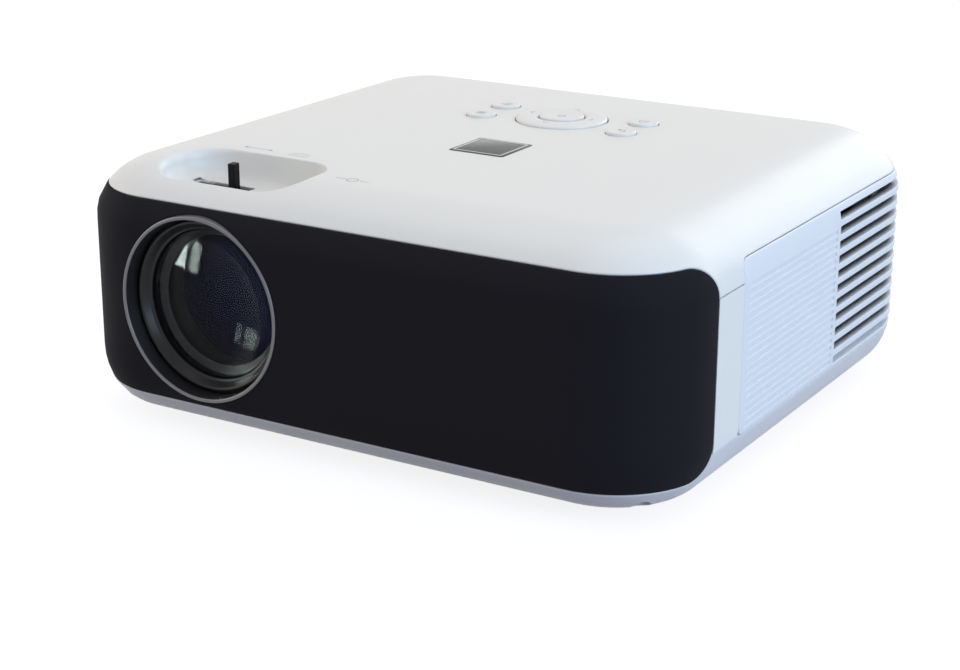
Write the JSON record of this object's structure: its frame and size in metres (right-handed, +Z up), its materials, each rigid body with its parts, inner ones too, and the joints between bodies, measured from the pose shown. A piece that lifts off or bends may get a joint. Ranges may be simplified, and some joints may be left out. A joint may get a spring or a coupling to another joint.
{
  "type": "video projector",
  "caption": "Tabletop projector with a built-in slim disc drive in its side, a focusing lens, a top keypad and a screw foot.",
  "frame": {"origin": "centre of the box round the projector, on the surface that its feet stand on", "axes": "+Z up; -Y is the front, where the lens looks out; +X is the right-hand side seen from the front, with the exhaust vents"},
  "size_m": [0.2703, 0.2524, 0.1079],
  "materials": {
    "white_shell": "satin moulded ABS",
    "white_panel": "fine-grained moulded ABS",
    "key_white": "fine satin",
    "black_front": "matte",
    "black_plastic": "matte",
    "black_barrel": "satin",
    "grey_plastic": "matte",
    "badge": "gloss, thin silver edge line",
    "lens_trim": "anodised, satin",
    "zinc_steel": "zinc plated",
    "brass": "knurled",
    "rubber": "matte",
    "silicone": "matte",
    "lcd_glass": "polarised",
    "clear_acrylic": "clear",
    "coated_glass": "multi-coated",
    "front_mirror": "front silvered",
    "copper_board": "white solder mask",
    "bare_aluminium": "extruded",
    "circuit_board": "solder mask",
    "nickel_steel": "nickel plated",
    "dark_window": "smoked",
    "galvanised_steel": "galvanised sheet",
    "polished_steel": "ground"
  },
  "bodies": {
    "housing": {"top_cover": "white_shell", "pocket_tub": "white_shell", "bottom_cover": "white_shell", "chassis_band": "white_shell", "front_frame": "white_shell", "rear_frame": "white_shell", "front_panel": "black_front", "right_side_panel": "white_panel", "left_side_panel": "white_panel", "rear_panel": "white_panel", "socket_plate": "white_panel", "inlet_plate": "white_panel", "badge_plate": "badge", "lens_trim_ring": "lens_trim", "case_screws": "zinc_steel", "threaded_inserts": "brass", "rubber_feet": "rubber", "lens_tube": "black_plastic", "optical_box": "black_plastic", "lcd_panel": "lcd_glass", "fresnel_lenses": "clear_acrylic", "lamp_glasses": "coated_glass", "led_module": "copper_board", "heat_sink": "bare_aluminium", "fan_frames": "black_plastic", "speakers": "black_plastic", "circuit_boards": "circuit_board", "power_inlet": "black_plastic", "rear_sockets": "nickel_steel", "ir_window": "dark_window", "drive_case": "galvanised_steel", "drive_lid": "galvanised_steel"},
    "focus_ring": {"focus_ring": "black_plastic"},
    "lens_cell": {"lens_cell": "black_barrel", "front_lens": "coated_glass", "rear_lenses": "coated_glass"},
    "keystone_slider": {"keystone_slider": "black_plastic"},
    "fold_mirror": {"mirror_holder": "galvanised_steel", "fold_mirror": "front_mirror"},
    "exhaust_impeller": {"exhaust_impeller": "black_plastic"},
    "intake_impeller": {"intake_impeller": "black_plastic"},
    "disc_tray": {"disc_tray": "black_plastic", "tray_bezel": "white_panel", "drive_motors": "galvanised_steel", "guide_rods": "polished_steel"},
    "tray_rails": {"tray_rails": "galvanised_steel"},
    "eject_button": {"eject_button": "white_panel"},
    "turntable": {"turntable": "grey_plastic"},
    "pickup": {"pickup_sled": "grey_plastic", "pickup_lens": "clear_acrylic"},
    "lead_screw": {"lead_screw": "polished_steel"},
    "nav_web": {"nav_web": "silicone"},
    "nav_ring": {"nav_ring": "key_white"},
    "ok_button": {"ok_button": "key_white"},
    "power_button": {"power_button": "key_white"},
    "source_button": {"source_button": "key_white"},
    "menu_button": {"menu_button": "key_white"},
    "back_button": {"back_button": "key_white"},
    "foot_pad": {"foot_pad": "rubber"},
    "foot_screw": {"foot_screw": "black_plastic"}
  },
  "joints": [
    {"name": "focus_turn", "type": "hinge", "parent": "housing", "child": "focus_ring", "pos_m": [-0.0645, -0.09, 0.0551], "axis": [0, 1, 0], "range_deg": [-45, 45]},
    {"name": "lens_slide", "type": "slide", "parent": "housing", "child": "lens_cell", "axis": [0, 1, 0], "range_m": [-0.003, 0.003]},
    {"name": "keystone_slide", "type": "slide", "parent": "housing", "child": "keystone_slider", "axis": [1, 0, 0], "range_m": [-0.017, 0.007]},
    {"name": "mirror_tilt", "type": "hinge", "parent": "housing", "child": "fold_mirror", "pos_m": [-0.0645, -0.017, 0.04375], "axis": [0.7071, 0.7071, 0], "range_deg": [-2.86, 1.2]},
    {"name": "exhaust_spin", "type": "hinge", "parent": "housing", "child": "exhaust_impeller", "pos_m": [0.1195, 0.054, 0.054], "axis": [1, 0, 0], "continuous": true},
    {"name": "intake_spin", "type": "hinge", "parent": "housing", "child": "intake_impeller", "pos_m": [-0.122, 0.005, 0.044], "axis": [1, 0, 0], "continuous": true},
    {"name": "tray_slide", "type": "slide", "parent": "housing", "child": "disc_tray", "axis": [-1, 0, 0], "range_m": [0, 0.118]},
    {"name": "rails_slide", "type": "slide", "parent": "housing", "child": "tray_rails", "axis": [-1, 0, 0], "range_m": [0, 0.0591]},
    {"name": "eject_press", "type": "slide", "parent": "disc_tray", "child": "eject_button", "axis": [1, 0, 0], "range_m": [0, 0.0008], "stiffness_N_per_m": 400, "springref_m": -0.0005},
    {"name": "disc_spin", "type": "hinge", "parent": "disc_tray", "child": "turntable", "pos_m": [-0.07, 0.01, 0.081], "axis": [0, 0, 1], "continuous": true},
    {"name": "pickup_slide", "type": "slide", "parent": "disc_tray", "child": "pickup", "axis": [-0.7071, -0.7071, 0], "range_m": [0, 0.032]},
    {"name": "lead_screw_turn", "type": "hinge", "parent": "disc_tray", "child": "lead_screw", "pos_m": [-0.0753, 0.0153, 0.0772], "axis": [-0.7071, -0.7071, 0], "range_deg": [0, 3841]},
    {"name": "nav_roll", "type": "hinge", "parent": "housing", "child": "nav_web", "pos_m": [0, 0.0445, 0.1], "axis": [1, 0, 0], "range_deg": [-1.4, 1.4], "stiffness_Nm_per_rad": 0.3},
    {"name": "nav_pitch", "type": "hinge", "parent": "nav_web", "child": "nav_ring", "pos_m": [0, 0.0445, 0.1], "axis": [0, 1, 0], "range_deg": [-1.4, 1.4], "stiffness_Nm_per_rad": 0.3},
    {"name": "ok_press", "type": "slide", "parent": "housing", "child": "ok_button", "axis": [0, 0, -1], "range_m": [0, 0.0006], "stiffness_N_per_m": 400, "springref_m": -0.0005},
    {"name": "power_press", "type": "slide", "parent": "housing", "child": "power_button", "axis": [0, 0, -1], "range_m": [0, 0.0006], "stiffness_N_per_m": 400, "springref_m": -0.0005},
    {"name": "source_press", "type": "slide", "parent": "housing", "child": "source_button", "axis": [0, 0, -1], "range_m": [0, 0.0006], "stiffness_N_per_m": 400, "springref_m": -0.0005},
    {"name": "menu_press", "type": "slide", "parent": "housing", "child": "menu_button", "axis": [0, 0, -1], "range_m": [0, 0.0006], "stiffness_N_per_m": 400, "springref_m": -0.0005},
    {"name": "back_press", "type": "slide", "parent": "housing", "child": "back_button", "axis": [0, 0, -1], "range_m": [0, 0.0006], "stiffness_N_per_m": 400, "springref_m": -0.0005},
    {"name": "foot_drop", "type": "slide", "parent": "housing", "child": "foot_pad", "axis": [0, 0, -1], "range_m": [0, 0.012]},
    {"name": "foot_turn", "type": "hinge", "parent": "foot_pad", "child": "foot_screw", "pos_m": [0, -0.084, 0.016], "axis": [0, 0, 1], "range_deg": [0, 1440.6]}
  ],
  "couplings": [
    {"joint": "focus_turn", "follows": "lens_slide", "rad_per_m": 261.8},
    {"joint": "mirror_tilt", "follows": "keystone_slide", "rad_per_m": 2.9089},
    {"joint": "rails_slide", "follows": "tray_slide", "ratio": 0.5},
    {"joint": "lead_screw_turn", "follows": "pickup_slide", "rad_per_m": 2094.4},
    {"joint": "foot_turn", "follows": "foot_drop", "rad_per_m": 2094.4}
  ]
}
